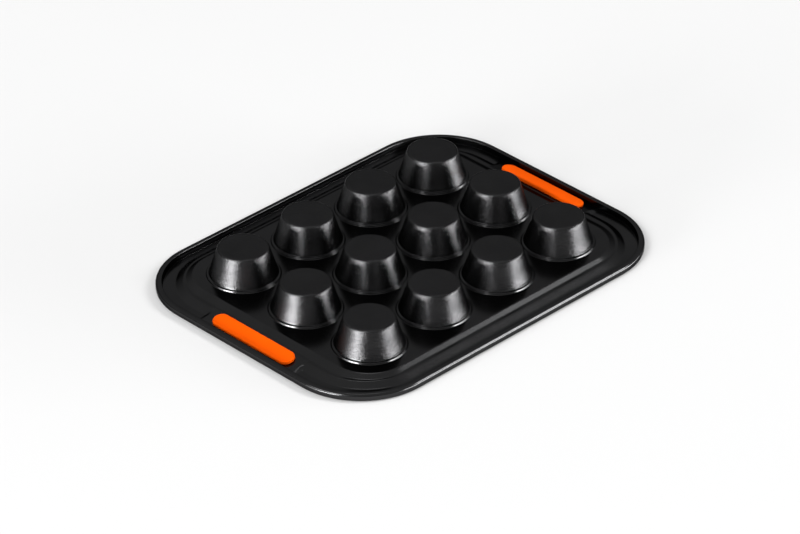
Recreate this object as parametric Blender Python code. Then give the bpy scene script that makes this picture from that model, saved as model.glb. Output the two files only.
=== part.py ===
"""A mini muffin pan, lying upside down with the floors of its cups up.

Metres, +Z up. The origin is the middle of the pan's footprint, on the surface that it lies on.
X runs along the long sides. An inset is a distance inwards from the pan's outer edge.
"""
import math

import bmesh
import bpy
from mathutils import Vector

MM = 0.001

# Sheet
SHEET = 0.8 * MM

# Cups: places, and an outline from the ring at the foot to the flat floor on top
CUP_COLUMNS = 4
CUP_ROWS = 3
CUP_PITCH_X = 63.5 * MM
CUP_PITCH_Y = 64.2 * MM
CUP_HEIGHT = 22.4 * MM
CUP_FLOOR_RADIUS = 17.6 * MM
CUP_EDGE_RADIUS = 18.5 * MM
CUP_EDGE_DROP = 0.5 * MM
CUP_SHOULDER_RADIUS = 19.0 * MM
CUP_SHOULDER_DROP = 1.4 * MM
CUP_FOOT_RADIUS = 25.1 * MM
RING_RADIUS = 27.0 * MM
RING_HEIGHT = 1.3 * MM
RING_EDGE = 0.9 * MM
RING_DRAFT = 0.4 * MM
RING_CHAMFER = 0.6 * MM

# Heights of the upper surface over the underside of the channel
CHANNEL_LEVEL = SHEET
TERRACE_LEVEL = 4.0 * MM
FIELD_LEVEL = 6.4 * MM
RIM_TOP = 5.6 * MM

# Border, from the field's edge out to the rim: the long sides, then the short ends that hold the grips
FIELD_MARGIN = 8.1 * MM
FIELD_CORNER = 31.0 * MM
SIDE_FIELD_SLOPE = 3.6 * MM
END_FIELD_SLOPE = 5.6 * MM
SIDE_TERRACE = 2.1 * MM
END_TERRACE = 4.3 * MM
CHANNEL_SLOPE = 5.6 * MM
SIDE_CHANNEL = 5.57 * MM
END_CHANNEL = 9.57 * MM
CHANNEL_CORNER = 47.9 * MM
SOFTENING = 1.0 * MM

# Grip land: between the channel's two ends the sheet slopes straight down from the terrace to the wall
LAND_OVERHANG = 6.7 * MM
LAND_INSET = 22.5 * MM
GROOVE_INSET = 12.4 * MM
GROOVE_END = 4.0 * MM
RIDGE_MARGIN = 2.7 * MM

# Rim: a steep wall and a narrow level top, rolled outwards over a wire, with its edge turned in below
WIRE_DIAMETER = 2.2 * MM
WIRE_CLEARANCE = 0.3 * MM
WALL_LEAN = math.radians(8)
RIM_FLAT = 2.3 * MM
TURNED_EDGE_RADIUS = 1.2 * MM
TURNED_EDGE_HEIGHT = 0.2 * MM
TURNED_EDGE_SWEEP = math.radians(140)
PAN_CORNER = 57.3 * MM

# Grips: a silicone plug with a lip on each face of the sheet, in a slot with round ends
GRIP_LENGTH = 78.6 * MM
GRIP_WIDTH = 12.8 * MM
GRIP_INSET = 14.9 * MM
GRIP_RISE = 2.7 * MM
GRIP_DEPTH = 1.4 * MM
GRIP_LIP = 2.0 * MM
GRIP_ROUNDING = 1.0 * MM
GRIP_CLEARANCE = 0.3 * MM

# Fineness of the round shapes
CUP_STEPS = 24
CORNER_STEPS = 7
GROOVE_STEPS = 3
RIDGE_STEPS = 2
ROLL_STEPS = 4
TURNED_EDGE_STEPS = 3
WIRE_STEPS = 8
GRIP_END_STEPS = 10
SMOOTH_ANGLE = math.radians(35)

RIM_WIDTH = WIRE_DIAMETER + 2 * (WIRE_CLEARANCE + SHEET)
ROLL_RADIUS = RIM_WIDTH / 2
ROLL_LEVEL = RIM_TOP - ROLL_RADIUS
WALL_TOP_INSET = ROLL_RADIUS + RIM_FLAT
CHANNEL_INSET = WALL_TOP_INSET + (RIM_TOP - CHANNEL_LEVEL) * math.tan(WALL_LEAN)
SIDE_FOOT = CHANNEL_INSET + SIDE_CHANNEL
END_FOOT = CHANNEL_INSET + END_CHANNEL
SIDE_BORDER = SIDE_FOOT + CHANNEL_SLOPE + SIDE_TERRACE + SIDE_FIELD_SLOPE
END_BORDER = END_FOOT + CHANNEL_SLOPE + END_TERRACE + END_FIELD_SLOPE
FIELD_HALF_LENGTH = CUP_PITCH_X * (CUP_COLUMNS - 1) / 2 + RING_RADIUS + FIELD_MARGIN
FIELD_HALF_WIDTH = CUP_PITCH_Y * (CUP_ROWS - 1) / 2 + RING_RADIUS + FIELD_MARGIN
PAN_HALF_LENGTH = FIELD_HALF_LENGTH + END_BORDER
PAN_HALF_WIDTH = FIELD_HALF_WIDTH + SIDE_BORDER
LAND_HALF_LENGTH = GRIP_LENGTH / 2 + LAND_OVERHANG
LAND_SLOPE = (TERRACE_LEVEL - CHANNEL_LEVEL) / (LAND_INSET - CHANNEL_INSET)
LAND_TILT = math.atan(LAND_SLOPE)
CHANNEL_STRAIGHT = PAN_HALF_WIDTH - SIDE_FOOT - CHANNEL_CORNER
RIDGE_FADE = CHANNEL_STRAIGHT - RIDGE_MARGIN - LAND_HALF_LENGTH


def clear_scene():
    for thing in list(bpy.data.objects):
        bpy.data.objects.remove(thing, do_unlink=True)


def make_material(name, color, metallic, roughness):
    material = bpy.data.materials.new(name)
    material.use_nodes = True
    shader = material.node_tree.nodes["Principled BSDF"]
    shader.inputs["Base Color"].default_value = (*color, 1.0)
    shader.inputs["Metallic"].default_value = metallic
    shader.inputs["Roughness"].default_value = roughness
    return material


def add_object(name, mesh_data, material):
    """Turns a bmesh into a smooth-shaded object with one material."""
    mesh = bpy.data.meshes.new(name)
    mesh_data.to_mesh(mesh)
    mesh_data.free()
    mesh.materials.append(material)
    mesh.shade_smooth()
    mesh.set_sharp_from_angle(angle=SMOOTH_ANGLE)
    made = bpy.data.objects.new(name, mesh)
    bpy.context.collection.objects.link(made)
    return made


def add_loop(mesh_data, points):
    return [mesh_data.verts.new(point) for point in points]


def bridge(mesh_data, first, second):
    """Joins two closed loops of equal length with a band of four-sided faces."""
    count = len(first)
    for i in range(count):
        j = (i + 1) % count
        mesh_data.faces.new((first[i], first[j], second[j], second[i]))


def loop_edges(mesh_data, loop):
    count = len(loop)
    pairs = [(loop[i], loop[(i + 1) % count]) for i in range(count)]
    return [mesh_data.edges.get(pair) or mesh_data.edges.new(pair) for pair in pairs]


def land_level(inset):
    """Height of the sloping land at an inset from a short side."""
    return TERRACE_LEVEL - (LAND_INSET - inset) * LAND_SLOPE


def end_places():
    """Places along a short side where the land ends: close together at the groove, then wider apart."""
    groove = [GROOVE_END * step / GROOVE_STEPS for step in range(GROOVE_STEPS)]
    ridge = [GROOVE_END + (RIDGE_FADE - GROOVE_END) * step / RIDGE_STEPS for step in range(RIDGE_STEPS + 1)]
    rising = [LAND_HALF_LENGTH + offset for offset in groove + ridge]
    return [-place for place in reversed(rising)] + rising


def end_level(place, inset, level):
    """Height at a place along a short side: the land's, then a soft step to the border's own level.

    The step is short where the channel's groove starts. Outside the groove it is a long fade.
    """
    if not CHANNEL_INSET < inset < LAND_INSET:
        return level
    reach = GROOVE_END if inset > GROOVE_INSET else RIDGE_FADE
    share = min(max((abs(place) - LAND_HALF_LENGTH) / reach, 0), 1)
    return land_level(inset) + (level - land_level(inset)) * share * share * (3 - 2 * share)


def border_loop(side_inset, end_inset, corner, level):
    """Points of one line around the pan, which is level but for the land that holds each grip."""
    half_x = PAN_HALF_LENGTH - end_inset
    half_y = PAN_HALF_WIDTH - side_inset
    points = []
    for turn, (sign_x, sign_y) in enumerate(((1, 1), (-1, 1), (-1, -1), (1, -1))):
        if turn % 2 == 0:
            for place in end_places():
                height = end_level(place, end_inset, level)
                points.append(Vector((sign_x * half_x, sign_x * place, height)))
        for step in range(CORNER_STEPS + 1):
            angle = math.pi / 2 * (turn + step / CORNER_STEPS)
            x = sign_x * (half_x - corner) + corner * math.cos(angle)
            y = sign_y * (half_y - corner) + corner * math.sin(angle)
            points.append(Vector((x, y, level)))
    return points


def between(first, second, share):
    """The point of a border section at a share of the way from one knot to another."""
    return [a + (b - a) * share for a, b in zip(first, second)]


def softened(knots):
    """Replaces each inner knot of a border section by two, one on each side of it."""
    section = []
    for before, knot, after in zip(knots, knots[1:], knots[2:]):
        for other in (before, after):
            run = math.hypot(other[0] - knot[0], other[3] - knot[3])
            section.append(between(knot, other, min(SOFTENING / run, 0.5)))
    return section


def pressed_section():
    """The border from the field's edge to the wall's top: side inset, end inset, corner radius, level."""
    field_slope = (SIDE_FIELD_SLOPE + END_FIELD_SLOPE) / 2
    terrace_side = SIDE_FOOT + CHANNEL_SLOPE
    terrace_end = END_FOOT + CHANNEL_SLOPE
    knots = [
        (SIDE_BORDER + FIELD_MARGIN, END_BORDER + FIELD_MARGIN, FIELD_CORNER - FIELD_MARGIN, FIELD_LEVEL),
        (SIDE_BORDER, END_BORDER, FIELD_CORNER, FIELD_LEVEL),
        (terrace_side + SIDE_TERRACE, terrace_end + END_TERRACE, FIELD_CORNER + field_slope, TERRACE_LEVEL),
        (terrace_side, terrace_end, CHANNEL_CORNER - CHANNEL_SLOPE, TERRACE_LEVEL),
        (SIDE_FOOT, END_FOOT, CHANNEL_CORNER, CHANNEL_LEVEL),
        rim_knot(CHANNEL_INSET, CHANNEL_LEVEL),
        rim_knot(WALL_TOP_INSET, RIM_TOP),
        rim_knot(ROLL_RADIUS, RIM_TOP),
    ]
    section = softened(knots)
    for inset in (LAND_INSET, GROOVE_INSET):
        section = with_end_inset(section, inset)
    return section


def with_end_inset(section, inset):
    """Adds the point where a border section crosses an inset from the short side."""
    for i, (outer, inner) in enumerate(zip(section[1:], section)):
        if outer[1] < inset < inner[1]:
            share = (inner[1] - inset) / (inner[1] - outer[1])
            return section[:i + 1] + [between(inner, outer, share)] + section[i + 1:]
    return section


def rim_knot(inset, level):
    """A point of the rim's section, whose inset and centre of curvature are the same all round."""
    return (inset, inset, PAN_CORNER - inset, level)


def rim_section():
    """The rim from its level top over the roll, down outside and in below."""
    section = []
    for step in range(ROLL_STEPS + 1):
        angle = math.pi / 2 * step / ROLL_STEPS
        inset = ROLL_RADIUS * (1 - math.sin(angle))
        section.append(rim_knot(inset, ROLL_LEVEL + ROLL_RADIUS * math.cos(angle)))
    for step in range(TURNED_EDGE_STEPS + 1):
        angle = TURNED_EDGE_SWEEP * step / TURNED_EDGE_STEPS
        inset = TURNED_EDGE_RADIUS * (1 - math.cos(angle))
        level = TURNED_EDGE_HEIGHT + TURNED_EDGE_RADIUS * (1 - math.sin(angle))
        section.append(rim_knot(inset, level))
    return section


def cup_outline():
    """Radius and height over the field, from the ring's foot to the edge of the cup's floor."""
    shoulder = CUP_HEIGHT - CUP_SHOULDER_DROP
    ring_top = RING_RADIUS - RING_DRAFT
    return [
        (RING_RADIUS, 0),
        (ring_top, RING_EDGE),
        (ring_top - RING_CHAMFER, RING_HEIGHT),
        (CUP_FOOT_RADIUS, RING_HEIGHT),
        (CUP_SHOULDER_RADIUS, shoulder),
        (CUP_EDGE_RADIUS, CUP_HEIGHT - CUP_EDGE_DROP),
        (CUP_FLOOR_RADIUS, CUP_HEIGHT),
    ]


def add_cup(mesh_data, centre_x, centre_y):
    """Raises one cup and returns the loop where its ring meets the field."""
    loops = []
    for radius, height in cup_outline():
        points = []
        for step in range(CUP_STEPS):
            angle = 2 * math.pi * step / CUP_STEPS
            x = centre_x + radius * math.cos(angle)
            y = centre_y + radius * math.sin(angle)
            points.append(Vector((x, y, FIELD_LEVEL + height)))
        loops.append(add_loop(mesh_data, points))
    for lower, upper in zip(loops, loops[1:]):
        bridge(mesh_data, lower, upper)
    mesh_data.faces.new(loops[-1])
    return loops[0]


def cup_centres():
    for column in range(CUP_COLUMNS):
        for row in range(CUP_ROWS):
            x = (column - (CUP_COLUMNS - 1) / 2) * CUP_PITCH_X
            y = (row - (CUP_ROWS - 1) / 2) * CUP_PITCH_Y
            yield x, y


def pan_surface():
    """The sheet's upper surface: border and rim as loops, cups, and the flat field between them."""
    mesh_data = bmesh.new()
    section = pressed_section() + rim_section()
    loops = [add_loop(mesh_data, border_loop(*knot)) for knot in section]
    for inner, outer in zip(loops, loops[1:]):
        bridge(mesh_data, inner, outer)
    edges = loop_edges(mesh_data, loops[0])
    for centre_x, centre_y in cup_centres():
        edges += loop_edges(mesh_data, add_cup(mesh_data, centre_x, centre_y))
    bmesh.ops.triangle_fill(mesh_data, use_beauty=True, edges=edges, normal=Vector((0, 0, 1)))
    bmesh.ops.recalc_face_normals(mesh_data, faces=mesh_data.faces)
    cup_floor = max(mesh_data.faces, key=lambda face: face.calc_center_median().z)
    if cup_floor.normal.z < 0:
        bmesh.ops.reverse_faces(mesh_data, faces=mesh_data.faces)
    return mesh_data


def pill_loop(length, width, level):
    """Points of a level outline with straight sides along Y and round ends."""
    radius = width / 2
    points = []
    for turn in (0, 1):
        for step in range(GRIP_END_STEPS + 1):
            angle = math.pi * (turn + step / GRIP_END_STEPS)
            y = (length / 2 - radius) * (1 - 2 * turn) + radius * math.sin(angle)
            points.append(Vector((radius * math.cos(angle), y, level)))
    return points


def add_pill(name, levels, material):
    """A closed solid of stacked pill outlines, each given as length, width and level from below up."""
    mesh_data = bmesh.new()
    loops = [add_loop(mesh_data, pill_loop(*level)) for level in levels]
    for lower, upper in zip(loops, loops[1:]):
        bridge(mesh_data, lower, upper)
    mesh_data.faces.new(loops[0])
    mesh_data.faces.new(loops[-1])
    bmesh.ops.recalc_face_normals(mesh_data, faces=mesh_data.faces)
    return add_object(name, mesh_data, material)


def grip_levels():
    """Outlines of a grip from its lower crown to its upper one, with heights from the sheet's top face."""
    neck = -2 * GRIP_LIP
    crown = -2 * GRIP_ROUNDING
    easing = GRIP_ROUNDING * (1 - math.sqrt(0.5))
    bottom = -SHEET - GRIP_DEPTH
    outline = [
        (crown, bottom),
        (-2 * easing, bottom + easing),
        (0, bottom + GRIP_ROUNDING),
        (0, -SHEET - GRIP_CLEARANCE),
        (neck, -SHEET - GRIP_CLEARANCE),
        (neck, GRIP_CLEARANCE),
        (0, GRIP_CLEARANCE),
        (0, GRIP_RISE - GRIP_ROUNDING),
        (-2 * easing, GRIP_RISE - easing),
        (crown, GRIP_RISE),
    ]
    return [(GRIP_LENGTH + growth, GRIP_WIDTH + growth, level) for growth, level in outline]


def slot_levels():
    growth = 2 * (GRIP_CLEARANCE - GRIP_LIP)
    length, width = GRIP_LENGTH + growth, GRIP_WIDTH + growth
    return [(length, width, -SHEET - GRIP_DEPTH), (length, width, GRIP_RISE)]


def pan_lift():
    """Height of the channel's underside over the surface, as the pan lies on its grips' lower faces."""
    sine = math.sin(LAND_TILT)
    cosine = math.cos(LAND_TILT)
    reach = max(width / 2 * sine - level * cosine for _, width, level in grip_levels())
    return reach - land_level(GRIP_INSET)


def seat_in_land(thing, side):
    """Places a grip or its slot's cutter on the sloping land at one short end."""
    thing.location = (side * (PAN_HALF_LENGTH - GRIP_INSET), 0, pan_lift() + land_level(GRIP_INSET))
    thing.rotation_euler = (0, side * LAND_TILT, 0)


def make_pan(material):
    pan = add_object("pan_body", pan_surface(), material)
    pan.location.z = pan_lift()
    thickness = pan.modifiers.new("sheet", "SOLIDIFY")
    thickness.thickness = SHEET
    thickness.offset = -1
    thickness.use_even_offset = True
    return pan


def cut_slot(pan, side, material):
    """Cuts the slot that a grip sits in, with a cutter that isn't part of the pan."""
    cutter = add_pill("slot_cutter", slot_levels(), material)
    seat_in_land(cutter, side)
    cutter.hide_render = True
    cutter.display_type = "WIRE"
    cut = pan.modifiers.new("grip slot", "BOOLEAN")
    cut.object = cutter
    cut.operation = "DIFFERENCE"
    cut.solver = "EXACT"


def make_wire(material):
    """The steel wire hoop that lies in the rolled rim."""
    mesh_data = bmesh.new()
    loops = []
    for step in range(WIRE_STEPS):
        angle = 2 * math.pi * (step + 0.5) / WIRE_STEPS
        inset = ROLL_RADIUS + WIRE_DIAMETER / 2 * math.cos(angle)
        level = ROLL_LEVEL + WIRE_DIAMETER / 2 * math.sin(angle)
        hoop = [Vector((p.x, p.y, level)) for p in border_loop(*rim_knot(inset, level))]
        loops.append(add_loop(mesh_data, hoop))
    for step in range(WIRE_STEPS):
        bridge(mesh_data, loops[step], loops[(step + 1) % WIRE_STEPS])
    bmesh.ops.recalc_face_normals(mesh_data, faces=mesh_data.faces)
    wire = add_object("rim_wire", mesh_data, material)
    wire.location.z = pan_lift()


def make_grip(name, side, material):
    grip = add_pill(name, grip_levels(), material)
    seat_in_land(grip, side)


def main():
    clear_scene()
    coating = make_material("coated steel", (0.020, 0.020, 0.021), 0.55, 0.34)
    steel = make_material("wire steel", (0.50, 0.51, 0.53), 1.0, 0.40)
    silicone = make_material("orange silicone", (0.95, 0.14, 0.005), 0.0, 0.55)
    pan = make_pan(coating)
    make_wire(steel)
    for name, side in (("grip_left", -1), ("grip_right", 1)):
        cut_slot(pan, side, coating)
        make_grip(name, side, silicone)


if __name__ == "__main__":
    main()
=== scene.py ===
"""A mini muffin pan in black non-stick coated steel, lying face down, with a silicone grip in each end.

Metres, +Z up. X runs along the long sides. An inset is a distance inwards from the pan's outer edge.
"""

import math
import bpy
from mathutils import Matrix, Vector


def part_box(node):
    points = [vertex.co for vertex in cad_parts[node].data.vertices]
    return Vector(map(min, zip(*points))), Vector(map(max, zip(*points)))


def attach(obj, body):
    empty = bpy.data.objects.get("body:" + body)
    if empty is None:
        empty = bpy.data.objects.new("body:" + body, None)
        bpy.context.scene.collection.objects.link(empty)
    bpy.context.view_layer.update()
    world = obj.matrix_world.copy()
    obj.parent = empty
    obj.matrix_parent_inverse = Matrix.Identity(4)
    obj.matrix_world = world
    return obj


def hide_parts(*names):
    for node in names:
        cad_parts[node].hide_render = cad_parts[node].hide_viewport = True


bl_info = {
    "name": "Mini muffin pan",
    "version": (1, 0, 0),
    "blender": (4, 5, 0),
    "location": "3D View > Sidebar > Muffin Pan",
    "description": "Builds a twelve-cup mini muffin pan, its finishes and a plain studio",
    "category": "Object",
}

import bmesh
import bpy
from bpy.props import FloatProperty, FloatVectorProperty, IntProperty, PointerProperty
from mathutils import Matrix, Vector

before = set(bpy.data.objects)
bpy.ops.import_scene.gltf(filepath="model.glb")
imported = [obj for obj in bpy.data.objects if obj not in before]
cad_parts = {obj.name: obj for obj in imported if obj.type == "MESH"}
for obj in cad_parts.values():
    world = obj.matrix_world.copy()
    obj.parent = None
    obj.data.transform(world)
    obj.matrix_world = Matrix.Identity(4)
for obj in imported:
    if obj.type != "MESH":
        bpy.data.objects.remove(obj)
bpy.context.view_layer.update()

MM = 0.001
NEAR = 0.01 * MM

# Cups
CUP_HEIGHT = 22.4 * MM
CUP_COLUMNS = 4
CUP_ROWS = 3
CUP_PITCH_X = 63.5 * MM
CUP_PITCH_Y = 64.2 * MM
CUP_FOOT_RADIUS = 25.1 * MM
CUP_TOP_RADIUS = 18.57 * MM
CUP_SHOULDER = 1.3 * MM
RING_RADIUS = 27.0 * MM
RING_HEIGHT = 1.3 * MM
RING_DRAFT = 0.4 * MM
RING_FILLET = 0.35 * MM

# Heights of the sheet's upper face over the underside of the channel
TERRACE_LEVEL = 4.0 * MM
FIELD_LEVEL = 6.4 * MM
RIM_TOP = 5.6 * MM

# Border, from the field's edge out to the rim, along the long sides and along the short ends
FIELD_CORNER = 31.0 * MM
SIDE_FIELD_SLOPE = 3.6 * MM
END_FIELD_SLOPE = 5.6 * MM
SIDE_TERRACE = 2.1 * MM
END_TERRACE = 4.3 * MM
CHANNEL_SLOPE = 5.6 * MM
SIDE_CHANNEL = 5.57 * MM
END_CHANNEL = 9.57 * MM
CHANNEL_CORNER = 47.9 * MM

# Land that holds a grip: a straight slope from the terrace to the wall between the channel's ends
LAND_HALF_LENGTH = 46.0 * MM
LAND_INSET = 22.5 * MM
GROOVE_INSET = 12.4 * MM
GROOVE_END = 4.0 * MM
GROOVE_EDGE = 1.6 * MM
RIDGE_FADE = 14.0 * MM

# Where the border gets more edges for the land's soft ends: the insets between which it does, the
# distance between edges there, and the cuts across it, first close together and then further apart
LAND_ZONE = (5.5 * MM, 23.0 * MM)
LAND_GRID = 1.1 * MM
GROOVE_CUTS = 11
GROOVE_CUT_STEP = 0.5 * MM
RIDGE_CUTS = 7
RIDGE_CUT_STEP = 1.5 * MM

# Rim: a steep wall, a narrow level top and a roll down outside
RIM_FLAT_INSET = 4.5 * MM
ROLL_RADIUS = 2.2 * MM
WALL_LEAN = math.radians(8)
WALL_FOOT_FILLET = 0.05 * MM
WALL_TOP_FILLET = 0.5 * MM
TURNED_EDGE_RADIUS = 1.2 * MM
TURNED_EDGE_HEIGHT = 0.2 * MM
TURNED_EDGE_SWEEP = math.radians(140)
PAN_CORNER = 57.3 * MM

# Grips
GRIP_INSET = 14.9 * MM
GRIP_DEPTH = 1.38 * MM
GRIP_LIP = 2.0 * MM
GRIP_CLEARANCE = 0.3 * MM
GRIP_CROWN_EDGE = 0.8 * MM
SLOT_CUTTER = 8.0 * MM

# Fineness of the round shapes
FILLET_STEPS = 5
RING_STEPS = 4
SHOULDER_STEPS = 6
ROLL_STEPS = 14
TURNED_EDGE_STEPS = 8
CROWN_STEPS = 6
PILL_STEPS = 66
SHEET_SMOOTH_ANGLE = math.radians(40)
GRIP_SMOOTH_ANGLE = math.radians(50)

# How much of the run to the next knot a rounding may take
LONGEST_REACH = 0.48

# How far each line of the border is raised while it is joined on
RAISED_BY = 20 * MM

# Finishes: the sizes of the grain and of the soft clouds in it, what shades and roughness the clouds
# go between, and the height of the grain. The drawn finish of the cups starts over a short run.
NOISE_SPREAD = (0.3, 0.7)
COATING_CLOUD = 25 * MM
COATING_SHADES = (0.93, 1.07)
COATING_CHANGE = 0.01
DRAWN_RUN = 1.5 * MM
SILICONE_GRAIN = 0.9 * MM
SILICONE_CLOUD = 12 * MM
SILICONE_SHADES = (0.94, 1)
SILICONE_ROUGHNESS = (0.56, 0.64)
SILICONE_SPECULAR = 0.02
SILICONE_RELIEF = 0.03 * MM
STEEL_GRAIN = 0.3 * MM
STEEL_CLOUD = 6 * MM
STEEL_SHADES = (0.85, 1)
STEEL_ROUGHNESS = (0.35, 0.45)
STEEL_RELIEF = 0.01 * MM

# Studio: the floor's side, the height at which the room's full light starts, as a share of the way
# from the horizon to straight up, the camera's film, and the lamp power that gives a radiance of 1
FLOOR_SIDE = 24
ROOM_TURN = 0.5
FILM_WIDTH = 36
POWER_PER_RADIANCE = 4

# What the camera aims at: height over the channel, and distances to the right and up in the picture
AIM_LEVEL = 4.62 * MM
AIM_RIGHT = -1.316 * MM
AIM_UP = -5.421 * MM

# Softboxes: azimuth from the camera's and elevation of the centre, width and height, all in degrees
# as the pan sees them, and brightness
LAMP_DISTANCE = 8
SOFTBOXES = {
    "low left softbox": (-44, 4, 26, 8, 50),
    "low far left softbox": (-66, 4, 18, 8, 8),
    "low right softbox": (80, 4, 46, 8, 28),
    "low far right softbox": (109, 4, 20, 8, 8),
    "front left softbox": (-36, 31, 14, 30, 10),
    "high left softbox": (-62, 42, 24, 22, 3.6),
    "right softbox": (87, 27, 12, 6, 16),
    "high right softbox": (93, 34, 12, 9, 15),
    "higher right softbox": (101, 42, 10, 8, 15),
    "high far right softbox": (108.5, 46.5, 6, 6, 6),
    "crease softbox": (180, 72, 16, 10, 2),
}

# From the frame: the pan's outline, and the height at which it lies on its grips
PAN_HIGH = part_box("pan_body")[1]
PAN_HALF_LENGTH = PAN_HIGH.x
PAN_HALF_WIDTH = PAN_HIGH.y
PAN_LIFT = PAN_HIGH.z - FIELD_LEVEL - CUP_HEIGHT
ROLL_LEVEL = RIM_TOP - ROLL_RADIUS


def wall_inset(level):
    """Inset of the leaning wall at a height."""
    return RIM_FLAT_INSET + (RIM_TOP - level) * math.tan(WALL_LEAN)


class SheetSettings(bpy.types.PropertyGroup):
    thickness: FloatProperty(
        name="Thickness", description="Thickness of the steel sheet",
        default=0.8 * MM, min=0.3 * MM, subtype="DISTANCE", unit="LENGTH")
    fillet: FloatProperty(
        name="Fillet", description="Length of a crease's rounding on each side of it",
        default=0.6 * MM, min=0.2 * MM, subtype="DISTANCE", unit="LENGTH")
    corner_steps: IntProperty(
        name="Corner steps", description="Edges in each corner of the border", default=28, min=6)
    cup_steps: IntProperty(
        name="Cup steps", description="Edges round each cup", default=96, min=24)


class GripSettings(bpy.types.PropertyGroup):
    length: FloatProperty(
        name="Length", description="Length of a grip",
        default=78.6 * MM, subtype="DISTANCE", unit="LENGTH")
    width: FloatProperty(
        name="Width", description="Width of a grip",
        default=12.8 * MM, subtype="DISTANCE", unit="LENGTH")
    rise: FloatProperty(
        name="Rise", description="Height of a grip's upper face over the sheet",
        default=2.7 * MM, subtype="DISTANCE", unit="LENGTH")
    rounding: FloatProperty(
        name="Rounding", description="Radius of a grip's edges",
        default=1.0 * MM, subtype="DISTANCE", unit="LENGTH")


class FinishSettings(bpy.types.PropertyGroup):
    coating: FloatVectorProperty(
        name="Coating", description="Colour of the non-stick coating",
        default=(0.044, 0.044, 0.045), size=3, min=0, max=1, subtype="COLOR")
    coating_edge: FloatProperty(
        name="Coating edge", description="How much of the shine at a flat angle the coating keeps",
        default=0.4, min=0, max=1, subtype="FACTOR")
    flat_roughness: FloatProperty(
        name="Flat roughness", description="Roughness of the coating on the field and border",
        default=0.19, min=0, max=1, subtype="FACTOR")
    drawn_roughness: FloatProperty(
        name="Drawn roughness", description="Roughness of the coating on the drawn cups",
        default=0.23, min=0, max=1, subtype="FACTOR")
    coating_grain: FloatProperty(
        name="Coating grain", description="Size of the coating's fine grain",
        default=0.8 * MM, subtype="DISTANCE", unit="LENGTH")
    coating_relief: FloatProperty(
        name="Coating relief", description="Height of the coating's fine grain",
        default=0.2 * MM, subtype="DISTANCE", unit="LENGTH")
    silicone: FloatVectorProperty(
        name="Silicone", description="Colour of the grips",
        default=(0.79, 0.086, 0.0008), size=3, min=0, max=1, subtype="COLOR")
    steel: FloatVectorProperty(
        name="Steel", description="Colour of the wire in the rim",
        default=(0.50, 0.51, 0.53), size=3, min=0, max=1, subtype="COLOR")


class StudioSettings(bpy.types.PropertyGroup):
    azimuth: FloatProperty(
        name="Azimuth", description="Direction the camera looks from, round the pan",
        default=math.radians(-44.692), subtype="ANGLE", unit="ROTATION")
    elevation: FloatProperty(
        name="Elevation", description="Height of the camera over the horizon",
        default=math.radians(32.442), subtype="ANGLE", unit="ROTATION")
    distance: FloatProperty(
        name="Distance", description="Distance from the camera to the pan",
        default=3.2044, subtype="DISTANCE", unit="LENGTH")
    lens: FloatProperty(name="Lens", description="Focal length in millimetres", default=200.75)
    room: FloatProperty(name="Room", description="Brightness of the dim room", default=0.45, min=0)
    horizon: FloatProperty(
        name="Horizon", description="Share of the room's brightness that is left at the horizon",
        default=0.3, min=0, max=1, subtype="FACTOR")
    floor_glow: FloatProperty(
        name="Floor glow", description="What lifts the floor to white where it is seen",
        default=0.07, min=0)
    floor: FloatProperty(
        name="Floor", description="How much light the floor gives back",
        default=0.67, min=0, max=1, subtype="FACTOR")


def start_piece(name):
    """Leaves an empty mesh object in edit mode, with nothing else selected."""
    bpy.ops.object.select_all(action="DESELECT")
    bpy.ops.mesh.primitive_plane_add()
    piece = bpy.context.object
    piece.name = piece.data.name = name
    bpy.ops.object.mode_set(mode="EDIT")
    bpy.ops.mesh.select_mode(type="VERT")
    bpy.ops.mesh.delete(type="VERT")
    return piece


def finish_piece(piece, node, material, smooth_angle):
    """Shades a piece, gives it its finish and lets it stand for a node of the frame."""
    bpy.ops.object.mode_set(mode="OBJECT")
    bpy.ops.object.select_all(action="DESELECT")
    piece.select_set(True)
    bpy.context.view_layer.objects.active = piece
    bpy.ops.object.shade_smooth_by_angle(angle=smooth_angle)
    piece.data.materials.clear()
    piece.data.materials.append(material)
    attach(piece, "root")
    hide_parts(node)


def select_where(piece, wanted):
    """Selects the vertices whose place passes a test, and the edges and faces between them."""
    shape = bmesh.from_edit_mesh(piece.data)
    for face in shape.faces:
        face.select_set(False)
    for edge in shape.edges:
        edge.select_set(False)
    for vertex in shape.verts:
        vertex.select_set(wanted(vertex.co))
    shape.select_flush(True)
    bmesh.update_edit_mesh(piece.data)


def between(first, second, share):
    return [a + (b - a) * share for a, b in zip(first, second)]


def rounded(knots, reaches, steps):
    """Replaces each inner knot of a section by a smooth curve that starts and ends a reach from it."""
    section = [knots[0]]
    for before, knot, after, reach in zip(knots, knots[1:], knots[2:], reaches):
        ends = []
        for other in (before, after):
            run = math.hypot(other[0] - knot[0], other[-1] - knot[-1])
            ends.append(between(knot, other, min(reach / run, LONGEST_REACH)))
        for step in range(steps + 1):
            share = step / steps
            section.append(between(between(ends[0], knot, share), between(knot, ends[1], share), share))
    return section + [knots[-1]]


def rim_knot(inset, level):
    """A point of the rim's section, the same all round the pan."""
    return (inset, inset, PAN_CORNER - inset, level)


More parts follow.
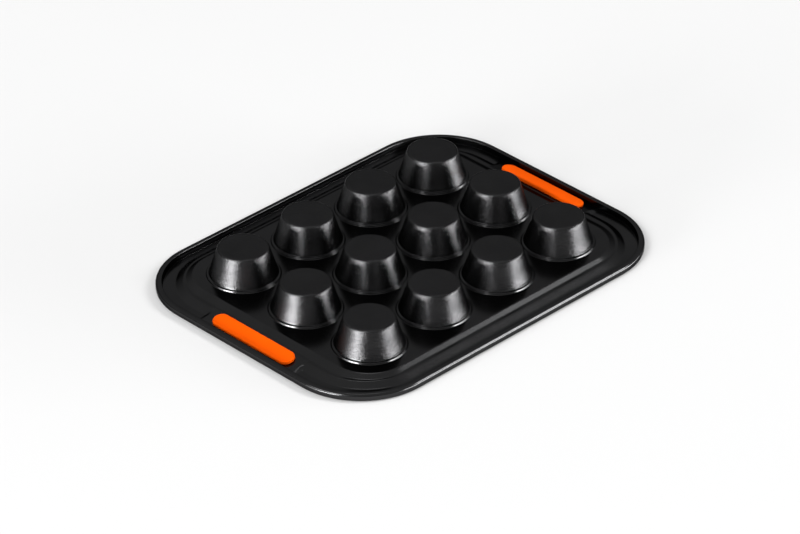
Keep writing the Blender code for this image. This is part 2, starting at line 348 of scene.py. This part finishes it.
def pressed_section(sheet):
    """The border from the flat field to the wall: side inset, end inset, corner radius and level."""
    channel_level = sheet.thickness
    channel_inset = wall_inset(channel_level)
    side_foot, end_foot = channel_inset + SIDE_CHANNEL, channel_inset + END_CHANNEL
    side_terrace, end_terrace = side_foot + CHANNEL_SLOPE, end_foot + CHANNEL_SLOPE
    side_slope, end_slope = side_terrace + SIDE_TERRACE, end_terrace + END_TERRACE
    side_border, end_border = side_slope + SIDE_FIELD_SLOPE, end_slope + END_FIELD_SLOPE
    field_slope = (SIDE_FIELD_SLOPE + END_FIELD_SLOPE) / 2
    flat = 2 * sheet.fillet
    return rounded([
        (side_border + flat, end_border + flat, FIELD_CORNER - flat, FIELD_LEVEL),
        (side_border, end_border, FIELD_CORNER, FIELD_LEVEL),
        (side_slope, end_slope, FIELD_CORNER + field_slope, TERRACE_LEVEL),
        (side_terrace, end_terrace, CHANNEL_CORNER - CHANNEL_SLOPE, TERRACE_LEVEL),
        (side_foot, end_foot, CHANNEL_CORNER, channel_level),
        rim_knot(channel_inset, channel_level),
        rim_knot(RIM_FLAT_INSET, RIM_TOP),
        rim_knot(ROLL_RADIUS, RIM_TOP),
    ], [sheet.fillet] * 4 + [WALL_FOOT_FILLET, WALL_TOP_FILLET], FILLET_STEPS)


def rim_section():
    """The rolled rim, from its level top down outside and in below."""
    section = []
    for step in range(1, ROLL_STEPS + 1):
        angle = math.pi / 2 * step / ROLL_STEPS
        section.append(rim_knot(
            ROLL_RADIUS * (1 - math.sin(angle)), ROLL_LEVEL + ROLL_RADIUS * math.cos(angle)))
    for step in range(TURNED_EDGE_STEPS + 1):
        angle = TURNED_EDGE_SWEEP * step / TURNED_EDGE_STEPS
        section.append(rim_knot(
            TURNED_EDGE_RADIUS * (1 - math.cos(angle)),
            TURNED_EDGE_HEIGHT + TURNED_EDGE_RADIUS * (1 - math.sin(angle))))
    return section


def refined(section):
    """Adds points on the channel's flat stretches, which the land's soft ends need."""
    low, high = LAND_ZONE
    fine = [section[0]]
    for before, after in zip(section, section[1:]):
        gap = abs(before[1] - after[1])
        parts = max(1, round(gap / LAND_GRID)) if low < after[1] < high else 1
        fine += [between(before, after, part / parts) for part in range(1, parts + 1)]
    return fine


def on_contour(contour):
    """A test for places on a rounded rectangle round the pan."""
    side_inset, end_inset, corner, level = contour
    half_x, half_y = PAN_HALF_LENGTH - end_inset, PAN_HALF_WIDTH - side_inset
    height = level + PAN_LIFT

    def test(place):
        if abs(place.z - height) > NEAR:
            return False
        out_x, out_y = abs(place.x) - (half_x - corner), abs(place.y) - (half_y - corner)
        apart = math.hypot(max(out_x, 0), max(out_y, 0)) + min(max(out_x, out_y), 0) - corner
        return abs(apart) < NEAR

    return test


def add_contour(contour, corner_steps):
    """Adds one rounded rectangle round the pan as a closed line."""
    side_inset, end_inset, corner, level = contour
    place = (0, 0, level + PAN_LIFT)
    bpy.ops.mesh.primitive_plane_add(size=2, location=place)
    size = (PAN_HALF_LENGTH - end_inset, PAN_HALF_WIDTH - side_inset, 1)
    bpy.ops.transform.resize(value=size, center_override=place)
    bpy.ops.mesh.bevel(offset=corner, segments=corner_steps, affect="VERTICES")
    bpy.ops.mesh.delete(type="ONLY_FACE")


def sweep_border(piece, contours, corner_steps):
    """Joins the lines of the border and rim into one surface.

    The bridge tool can't tell two lines in one plane apart, so each line is joined on while it is
    raised.
    """
    on_last = None
    for contour in contours:
        raised = (*contour[:3], contour[3] + RAISED_BY)
        on_raised = on_contour(raised)
        add_contour(raised, corner_steps)
        if on_last:
            select_where(piece, lambda place: on_last(place) or on_raised(place))
            bpy.ops.mesh.bridge_edge_loops()
        select_where(piece, on_raised)
        bpy.ops.transform.translate(value=(0, 0, -RAISED_BY))
        on_last = on_contour(contour)


def cut_across():
    """Cuts the border across where the land ends, so that its soft ends have edges to bend at."""
    places = [LAND_HALF_LENGTH + (step - 1) * GROOVE_CUT_STEP for step in range(GROOVE_CUTS)]
    places += [places[-1] + (step + 1) * RIDGE_CUT_STEP for step in range(RIDGE_CUTS)]
    for place in places:
        for side in (-1, 1):
            bpy.ops.mesh.select_all(action="SELECT")
            bpy.ops.mesh.bisect(plane_co=(0, side * place, 0), plane_no=(0, 1, 0))


def eased(share):
    share = min(max(share, 0), 1)
    return share * share * (3 - 2 * share)


def land_slope(sheet):
    """How steeply the land falls from the terrace to the wall's foot."""
    return (TERRACE_LEVEL - sheet.thickness) / (LAND_INSET - wall_inset(sheet.thickness))


def land_level(inset, sheet):
    """Height of the sloping land at an inset from a short side."""
    return TERRACE_LEVEL - (LAND_INSET - inset) * land_slope(sheet)


def land_change(place, sheet):
    """How far the sheet at a place moves up or down to become the land that holds a grip."""
    inset = PAN_HALF_LENGTH - abs(place.x)
    past_end = abs(place.y) - LAND_HALF_LENGTH
    if not wall_inset(sheet.thickness) < inset < LAND_INSET or past_end > RIDGE_FADE:
        return 0
    groove = 1 - eased(past_end / GROOVE_END)
    ridge = 1 - eased(past_end / RIDGE_FADE)
    inner = eased((inset - GROOVE_INSET) / GROOVE_EDGE + 0.5)
    share = ridge + (groove - ridge) * inner
    return (land_level(inset, sheet) + PAN_LIFT - place.z) * share


def raise_land(piece, sheet):
    """Moves the border's vertices on to the land, with one Displace modifier up and one down."""
    bpy.ops.object.mode_set(mode="OBJECT")
    reach = TERRACE_LEVEL
    for name, sign in (("land up", 1), ("land down", -1)):
        group = piece.vertex_groups.new(name=name)
        for vertex in piece.data.vertices:
            weight = sign * land_change(vertex.co, sheet) / reach
            if weight > 0:
                group.add([vertex.index], weight, "REPLACE")
    for name, sign in (("land up", 1), ("land down", -1)):
        push = piece.modifiers.new(name, "DISPLACE")
        push.direction = "Z"
        push.mid_level = 0
        push.strength = sign * reach
        push.vertex_group = name
    for name in ("land up", "land down"):
        bpy.ops.object.modifier_apply(modifier=name)
    piece.vertex_groups.clear()
    bpy.ops.object.mode_set(mode="EDIT")


def cup_outline(sheet):
    """Radius and height over the field, from the flat round the ring to the flat of the cup's floor."""
    ring_top = RING_RADIUS - RING_DRAFT
    foot = rounded([
        (RING_RADIUS + sheet.fillet, 0),
        (RING_RADIUS, 0),
        (ring_top, RING_HEIGHT),
        (CUP_FOOT_RADIUS, RING_HEIGHT),
        between((CUP_FOOT_RADIUS, RING_HEIGHT), (CUP_TOP_RADIUS, CUP_HEIGHT), 0.5),
    ], [RING_FILLET] * 3, RING_STEPS)
    top = rounded([
        foot.pop(),
        (CUP_TOP_RADIUS, CUP_HEIGHT),
        (CUP_TOP_RADIUS - 2 * CUP_SHOULDER, CUP_HEIGHT),
    ], [CUP_SHOULDER], SHOULDER_STEPS)
    return foot + top


def draw_cup(sheet):
    """Draws the first cup up from its ring, in the corner with the lowest X and Y."""
    centre_x = -(CUP_COLUMNS - 1) / 2 * CUP_PITCH_X
    centre_y = -(CUP_ROWS - 1) / 2 * CUP_PITCH_Y
    outline = cup_outline(sheet)
    cup = start_piece("cup")
    radius, height = outline[0]
    base = FIELD_LEVEL + PAN_LIFT
    bpy.ops.mesh.primitive_circle_add(
        vertices=sheet.cup_steps, radius=radius, location=(centre_x, centre_y, base + height))
    for next_radius, next_height in outline[1:]:
        bpy.ops.mesh.extrude_edges_move(TRANSFORM_OT_translate={"value": (0, 0, next_height - height)})
        share = next_radius / radius
        bpy.ops.transform.resize(
            value=(share, share, 1), center_override=(centre_x, centre_y, base + next_height))
        radius, height = next_radius, next_height
    bpy.ops.mesh.edge_face_add()
    bpy.ops.object.mode_set(mode="OBJECT")
    return cup


def copy_cups(cup):
    """Copies the first cup to the other places in its row and column, each with its own mesh."""
    cups = [cup]
    for column in range(CUP_COLUMNS):
        for row in range(CUP_ROWS):
            if column or row:
                bpy.ops.object.select_all(action="DESELECT")
                cup.select_set(True)
                bpy.context.view_layer.objects.active = cup
                bpy.ops.object.duplicate_move(
                    TRANSFORM_OT_translate={"value": (column * CUP_PITCH_X, row * CUP_PITCH_Y, 0)})
                cups.append(bpy.context.object)
    return cups


def fill_field(piece):
    """Fills the flat field between the border and the rings round the cups."""
    level = FIELD_LEVEL + PAN_LIFT
    bpy.ops.mesh.select_mode(type="EDGE")
    bpy.ops.mesh.select_all(action="DESELECT")
    bpy.ops.mesh.select_non_manifold(
        extend=False, use_wire=False, use_boundary=True, use_multi_face=False,
        use_non_contiguous=False, use_verts=False)
    shape = bmesh.from_edit_mesh(piece.data)
    for edge in shape.edges:
        if edge.select and abs(edge.verts[0].co.z - level) > NEAR:
            edge.select_set(False)
    bmesh.update_edit_mesh(piece.data)
    bpy.ops.mesh.fill(use_beauty=True)
    bpy.ops.mesh.select_mode(type="VERT")


def face_up(piece):
    """Turns the sheet's faces so that the cup floors face up."""
    bpy.ops.mesh.select_all(action="SELECT")
    bpy.ops.mesh.remove_doubles(threshold=NEAR)
    bpy.ops.mesh.normals_make_consistent(inside=False)
    shape = bmesh.from_edit_mesh(piece.data)
    highest = max(shape.faces, key=lambda face: face.calc_center_median().z)
    if highest.normal.z < 0:
        bpy.ops.mesh.flip_normals()


def cut_slots(piece, sheet, grips):
    """Cuts the slot for each grip through the sheet."""
    for side in (-1, 1):
        cutter = start_piece("slot")
        add_pill(grips.length, grips.width, -GRIP_LIP + GRIP_CLEARANCE)
        bpy.ops.mesh.extrude_region_move(TRANSFORM_OT_translate={"value": (0, 0, SLOT_CUTTER)})
        bpy.ops.mesh.select_all(action="SELECT")
        bpy.ops.transform.translate(value=(0, 0, -SLOT_CUTTER / 2))
        bpy.ops.mesh.normals_make_consistent(inside=False)
        seat_in_land(side, sheet)
        bpy.ops.object.mode_set(mode="OBJECT")
        bpy.ops.object.select_all(action="DESELECT")
        piece.select_set(True)
        bpy.context.view_layer.objects.active = piece
        cut = piece.modifiers.new("slot", "BOOLEAN")
        cut.object = cutter
        cut.operation = "DIFFERENCE"
        bpy.ops.object.modifier_apply(modifier="slot")
        bpy.data.objects.remove(cutter, do_unlink=True)


def add_pill(length, width, growth):
    """Adds a level outline at the origin with straight sides along Y and round ends, filled."""
    radius = width / 2 + growth
    bpy.ops.mesh.primitive_circle_add(vertices=PILL_STEPS, radius=radius, fill_type="NGON")
    piece = bpy.context.object
    reach = (length - width) / 2
    for side in (-1, 1):
        select_where(piece, lambda place: place.y * side > 0 and abs(place.y) <= radius + NEAR)
        bpy.ops.transform.translate(value=(0, side * reach, 0))
    select_where(piece, lambda place: abs(place.z) < NEAR)


def seat_in_land(side, sheet):
    """Moves what is selected from the origin on to the sloping land at one end."""
    tilt = math.atan(land_slope(sheet))
    bpy.ops.transform.rotate(value=-side * tilt, orient_axis="Y", center_override=(0, 0, 0))
    height = PAN_LIFT + land_level(GRIP_INSET, sheet)
    bpy.ops.transform.translate(value=(side * (PAN_HALF_LENGTH - GRIP_INSET), 0, height))


def add_cap(grips, start, end, up):
    """Adds one end of a grip at the origin: a pill from the face at the sheet to its rounded crown."""
    add_pill(grips.length, grips.width, 0)
    bpy.ops.transform.translate(value=(0, 0, start))
    rise = abs(end - start) - grips.rounding
    bpy.ops.mesh.extrude_region_move(TRANSFORM_OT_translate={"value": (0, 0, up * rise)})
    for step in range(CROWN_STEPS):
        here, there = (math.pi / 2 * (step + more) / CROWN_STEPS for more in (0, 1))
        bpy.ops.mesh.inset(
            thickness=grips.rounding * (math.cos(here) - math.cos(there)),
            depth=up * grips.rounding * (math.sin(there) - math.sin(here)))
    bpy.ops.mesh.inset(thickness=GRIP_CROWN_EDGE, depth=0)


def join_caps(piece, sheet):
    """Joins a grip's upper and lower end by the neck that goes through the slot."""
    inner_levels = (GRIP_CLEARANCE, -sheet.thickness - GRIP_CLEARANCE)
    select_where(piece, lambda place: any(abs(place.z - level) < NEAR for level in inner_levels))
    bpy.ops.mesh.inset(thickness=GRIP_LIP, depth=0)
    bpy.ops.mesh.bridge_edge_loops()


def new_material(name):
    material = bpy.data.materials.new(name)
    material.use_nodes = True
    nodes = material.node_tree.nodes
    shader = nodes["Principled BSDF"]
    return material, nodes, material.node_tree.links, shader


def speckle_group():
    """Builds the shader group for a fine even grain and a soft cloudy change over a surface."""
    if "Speckle" in bpy.data.node_groups:
        return bpy.data.node_groups["Speckle"]
    group = bpy.data.node_groups.new("Speckle", "ShaderNodeTree")
    for name in ("Grain Size", "Cloud Size"):
        group.interface.new_socket(name, in_out="INPUT", socket_type="NodeSocketFloat")
    for name in ("Grain", "Cloud"):
        group.interface.new_socket(name, in_out="OUTPUT", socket_type="NodeSocketFloat")
    nodes, links = group.nodes, group.links
    given, result = nodes.new("NodeGroupInput"), nodes.new("NodeGroupOutput")
    place = nodes.new("ShaderNodeTexCoord")
    for name, detail in (("Grain", 2), ("Cloud", 3)):
        scale = nodes.new("ShaderNodeMath")
        scale.operation = "DIVIDE"
        scale.inputs[0].default_value = 1
        links.new(given.outputs[name + " Size"], scale.inputs[1])
        noise = nodes.new("ShaderNodeTexNoise")
        noise.inputs["Detail"].default_value = detail
        links.new(place.outputs["Object"], noise.inputs["Vector"])
        links.new(scale.outputs[0], noise.inputs["Scale"])
        links.new(noise.outputs["Fac"], result.inputs[name])
    return group


def add_speckle(nodes, grain, cloud):
    speckle = nodes.new("ShaderNodeGroup")
    speckle.node_tree = speckle_group()
    speckle.inputs["Grain Size"].default_value = grain
    speckle.inputs["Cloud Size"].default_value = cloud
    return speckle


def add_bump(nodes, links, shader, height, distance):
    bump = nodes.new("ShaderNodeBump")
    bump.inputs["Strength"].default_value = 1
    bump.inputs["Distance"].default_value = distance
    links.new(height, bump.inputs["Height"])
    links.new(bump.outputs["Normal"], shader.inputs["Normal"])


def add_range(nodes, links, value, low, high):
    """Turns a value around a half into one between two limits."""
    span = nodes.new("ShaderNodeMapRange")
    limits = ("From Min", "From Max", "To Min", "To Max")
    for name, limit in zip(limits, (*NOISE_SPREAD, low, high)):
        span.inputs[name].default_value = limit
    links.new(value, span.inputs["Value"])
    return span.outputs["Result"]


def add_height_mask(nodes, links, level, run):
    """Goes from 0 to 1 as a place on the piece rises from a level over a run."""
    place, split = nodes.new("ShaderNodeTexCoord"), nodes.new("ShaderNodeSeparateXYZ")
    links.new(place.outputs["Object"], split.inputs[0])
    mask = nodes.new("ShaderNodeMapRange")
    mask.inputs["From Min"].default_value = level
    mask.inputs["From Max"].default_value = level + run
    links.new(split.outputs["Z"], mask.inputs["Value"])
    return mask.outputs["Result"]


def add_shades(nodes, links, cloud, colour, shares, socket):
    """Lets a colour go between two shades of it with the soft clouds."""
    blend = nodes.new("ShaderNodeMix")
    blend.data_type = "RGBA"
    for name, share in zip("AB", shares):
        blend.inputs[name].default_value = (*[part * share for part in colour], 1)
    links.new(add_range(nodes, links, cloud, 0, 1), blend.inputs["Factor"])
    links.new(blend.outputs["Result"], socket)


def coating_material(finish):
    """Satin black non-stick coating with the fine grain of a sprayed film."""
    material, nodes, links, shader = new_material("Non-stick coating")
    speckle = add_speckle(nodes, finish.coating_grain, COATING_CLOUD)
    cloud = speckle.outputs["Cloud"]
    add_shades(nodes, links, cloud, finish.coating, COATING_SHADES, shader.inputs["Base Color"])
    drawn = add_height_mask(nodes, links, PAN_LIFT + FIELD_LEVEL + RING_HEIGHT, DRAWN_RUN)
    limits = (finish.flat_roughness - COATING_CHANGE, finish.flat_roughness + COATING_CHANGE)
    flat = add_range(nodes, links, cloud, *limits)
    rough = nodes.new("ShaderNodeMath")
    rough.operation = "MULTIPLY_ADD"
    links.new(drawn, rough.inputs[0])
    rough.inputs[1].default_value = finish.drawn_roughness - finish.flat_roughness
    links.new(flat, rough.inputs[2])
    links.new(rough.outputs[0], shader.inputs["Roughness"])
    shader.inputs["Metallic"].default_value = 1
    shader.inputs["Specular Tint"].default_value = (*[finish.coating_edge] * 3, 1)
    relief = nodes.new("ShaderNodeMath")
    relief.operation = "MULTIPLY"
    links.new(drawn, relief.inputs[0])
    links.new(speckle.outputs["Grain"], relief.inputs[1])
    add_bump(nodes, links, shader, relief.outputs[0], finish.coating_relief)
    return material


def silicone_material(finish):
    """Matt moulded silicone, very slightly uneven in colour and surface."""
    material, nodes, links, shader = new_material("Orange silicone")
    speckle = add_speckle(nodes, SILICONE_GRAIN, SILICONE_CLOUD)
    cloud = speckle.outputs["Cloud"]
    add_shades(nodes, links, cloud, finish.silicone, SILICONE_SHADES, shader.inputs["Base Color"])
    links.new(add_range(nodes, links, cloud, *SILICONE_ROUGHNESS), shader.inputs["Roughness"])
    shader.inputs["Specular IOR Level"].default_value = SILICONE_SPECULAR
    add_bump(nodes, links, shader, speckle.outputs["Grain"], SILICONE_RELIEF)
    return material


def steel_material(finish):
    """Drawn steel wire, a little uneven in its shine."""
    material, nodes, links, shader = new_material("Drawn steel wire")
    speckle = add_speckle(nodes, STEEL_GRAIN, STEEL_CLOUD)
    cloud = speckle.outputs["Cloud"]
    add_shades(nodes, links, cloud, finish.steel, STEEL_SHADES, shader.inputs["Base Color"])
    links.new(add_range(nodes, links, cloud, *STEEL_ROUGHNESS), shader.inputs["Roughness"])
    shader.inputs["Metallic"].default_value = 1
    add_bump(nodes, links, shader, speckle.outputs["Grain"], STEEL_RELIEF)
    return material


class PAN_OT_sheet(bpy.types.Operator):
    """Presses the steel sheet: rolled rim, border, field and twelve cups"""
    bl_idname = "pan.sheet"
    bl_label = "Press the Sheet"

    def execute(self, context):
        sheet, grips = context.scene.pan_sheet, context.scene.pan_grips
        piece = start_piece("pressed_sheet")
        sweep_border(piece, refined(pressed_section(sheet)) + rim_section(), sheet.corner_steps)
        cut_across()
        raise_land(piece, sheet)
        bpy.ops.object.mode_set(mode="OBJECT")
        cups = copy_cups(draw_cup(sheet))
        bpy.ops.object.select_all(action="DESELECT")
        for thing in cups + [piece]:
            thing.select_set(True)
        context.view_layer.objects.active = piece
        bpy.ops.object.join()
        bpy.ops.object.mode_set(mode="EDIT")
        fill_field(piece)
        face_up(piece)
        bpy.ops.object.mode_set(mode="OBJECT")
        thickness = piece.modifiers.new("sheet", "SOLIDIFY")
        thickness.thickness = sheet.thickness
        thickness.offset = -1
        thickness.use_even_offset = True
        bpy.ops.object.modifier_apply(modifier="sheet")
        cut_slots(piece, sheet, grips)
        material = coating_material(context.scene.pan_finish)
        finish_piece(piece, "pan_body", material, SHEET_SMOOTH_ANGLE)
        return {"FINISHED"}


class PAN_OT_grips(bpy.types.Operator):
    """Moulds the silicone grip and seats one in each short end"""
    bl_idname = "pan.grips"
    bl_label = "Seat the Grips"

    def execute(self, context):
        sheet, grips = context.scene.pan_sheet, context.scene.pan_grips
        material = silicone_material(context.scene.pan_finish)
        for node, side in (("grip_left", -1), ("grip_right", 1)):
            piece = start_piece("silicone_" + node)
            add_cap(grips, GRIP_CLEARANCE, grips.rise, 1)
            add_cap(grips, -sheet.thickness - GRIP_CLEARANCE, -sheet.thickness - GRIP_DEPTH, -1)
            join_caps(piece, sheet)
            bpy.ops.mesh.select_all(action="SELECT")
            bpy.ops.mesh.normals_make_consistent(inside=False)
            seat_in_land(side, sheet)
            finish_piece(piece, node, material, GRIP_SMOOTH_ANGLE)
        return {"FINISHED"}


class PAN_OT_wire(bpy.types.Operator):
    """Gives the wire in the rolled rim its drawn steel finish"""
    bl_idname = "pan.wire"
    bl_label = "Finish the Rim Wire"

    def execute(self, context):
        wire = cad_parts["rim_wire"]
        wire.data.materials.clear()
        wire.data.materials.append(steel_material(context.scene.pan_finish))
        return {"FINISHED"}


def point_at(thing, place, target):
    thing.location = place
    thing.rotation_euler = (Vector(target) - Vector(place)).to_track_quat("-Z", "Y").to_euler()


def direction(azimuth, elevation):
    """Unit vector from the pan to something seen at an azimuth and elevation."""
    level = math.cos(elevation)
    return Vector((math.sin(azimuth) * level, -math.cos(azimuth) * level, math.sin(elevation)))


def add_softbox(name, azimuth, elevation, width, height, radiance):
    """Adds an area lamp that fills a width and a height in degrees, as the pan sees it."""
    bpy.ops.object.light_add(type="AREA")
    lamp = bpy.context.object
    lamp.name = lamp.data.name = name
    lamp.data.shape = "RECTANGLE"
    lamp.data.size = 2 * LAMP_DISTANCE * math.tan(math.radians(width / 2))
    lamp.data.size_y = 2 * LAMP_DISTANCE * math.tan(math.radians(height / 2))
    lamp.data.energy = POWER_PER_RADIANCE * radiance * lamp.data.size * lamp.data.size_y
    around = bpy.context.scene.pan_studio.azimuth + math.radians(azimuth)
    point_at(lamp, direction(around, math.radians(elevation)) * LAMP_DISTANCE, (0, 0, 0))


def add_floor(studio):
    """Adds the white floor, which keeps the pan's shadow."""
    bpy.ops.mesh.primitive_plane_add(size=FLOOR_SIDE, location=(0, 0, 0))
    floor = bpy.context.object
    floor.name = "floor"
    material, nodes, links, shader = new_material("White floor")
    shader.inputs["Base Color"].default_value = (*[studio.floor] * 3, 1)
    shader.inputs["Roughness"].default_value = 1
    shader.inputs["Specular IOR Level"].default_value = 0
    shader.inputs["Emission Color"].default_value = (1, 1, 1, 1)
    path = nodes.new("ShaderNodeLightPath")
    seen = path.outputs["Is Camera Ray"]
    for name in ("Is Glossy Ray", "Is Transmission Ray"):
        either = nodes.new("ShaderNodeMath")
        either.operation = "MAXIMUM"
        links.new(seen, either.inputs[0])
        links.new(path.outputs[name], either.inputs[1])
        seen = either.outputs[0]
    glow = nodes.new("ShaderNodeMath")
    glow.operation = "MULTIPLY"
    glow.inputs[1].default_value = studio.floor_glow
    links.new(seen, glow.inputs[0])
    links.new(glow.outputs[0], shader.inputs["Emission Strength"])
    floor.data.materials.append(material)


def dim_room(studio):
    """A plain room whose light falls off towards the horizon."""
    world = bpy.data.worlds.new("Dim room")
    world.use_nodes = True
    nodes, links = world.node_tree.nodes, world.node_tree.links
    place, split = nodes.new("ShaderNodeTexCoord"), nodes.new("ShaderNodeSeparateXYZ")
    links.new(place.outputs["Generated"], split.inputs[0])
    fall = nodes.new("ShaderNodeMapRange")
    fall.inputs["From Max"].default_value = ROOM_TURN
    fall.inputs["To Min"].default_value = studio.room * studio.horizon
    fall.inputs["To Max"].default_value = studio.room
    links.new(split.outputs["Z"], fall.inputs["Value"])
    nodes["Background"].inputs["Color"].default_value = (1, 1, 1, 1)
    links.new(fall.outputs["Result"], nodes["Background"].inputs["Strength"])
    return world


def add_camera(studio):
    """Adds the camera and returns it."""
    back = direction(studio.azimuth, studio.elevation)
    right = Vector((0, 0, 1)).cross(back).normalized()
    up = back.cross(right)
    aim = Vector((0, 0, PAN_LIFT + AIM_LEVEL)) + right * AIM_RIGHT + up * AIM_UP
    turn = Matrix((right, up, back)).transposed().to_4x4()
    bpy.ops.object.camera_add()
    camera = bpy.context.object
    camera.name = "camera"
    camera.matrix_world = Matrix.Translation(aim + back * studio.distance) @ turn
    camera.data.lens = studio.lens
    camera.data.sensor_width = FILM_WIDTH
    return camera


class PAN_OT_studio(bpy.types.Operator):
    """Sets up the floor, the lamps, the dim room and the camera"""
    bl_idname = "pan.studio"
    bl_label = "Set Up the Studio"

    def execute(self, context):
        studio = context.scene.pan_studio
        bpy.ops.object.select_all(action="DESELECT")
        add_floor(studio)
        for name, box in SOFTBOXES.items():
            add_softbox(name, *box)
        context.scene.world = dim_room(studio)
        context.scene.camera = add_camera(studio)
        context.scene.view_settings.view_transform = "Standard"
        return {"FINISHED"}


class PAN_PT_panel(bpy.types.Panel):
    bl_label = "Muffin Pan"
    bl_idname = "PAN_PT_panel"
    bl_space_type = "VIEW_3D"
    bl_region_type = "UI"
    bl_category = "Muffin Pan"

    def draw(self, context):
        for operator in OPERATORS:
            self.layout.operator(operator.bl_idname)
        for name in SETTINGS:
            group = getattr(context.scene, name)
            for key in group.bl_rna.properties.keys():
                if key not in ("rna_type", "name"):
                    self.layout.prop(group, key)


OPERATORS = (PAN_OT_sheet, PAN_OT_grips, PAN_OT_wire, PAN_OT_studio)
SETTINGS = {
    "pan_sheet": SheetSettings,
    "pan_grips": GripSettings,
    "pan_finish": FinishSettings,
    "pan_studio": StudioSettings,
}


def register():
    for kind in (*SETTINGS.values(), *OPERATORS, PAN_PT_panel):
        bpy.utils.register_class(kind)
    for name, group in SETTINGS.items():
        setattr(bpy.types.Scene, name, PointerProperty(type=group))


def unregister():
    for name in SETTINGS:
        delattr(bpy.types.Scene, name)
    for kind in reversed((*SETTINGS.values(), *OPERATORS, PAN_PT_panel)):
        bpy.utils.unregister_class(kind)


def main():
    register()
    bpy.ops.pan.sheet()
    bpy.ops.pan.grips()
    bpy.ops.pan.wire()
    bpy.ops.pan.studio()


if __name__ == "__main__":
    main()
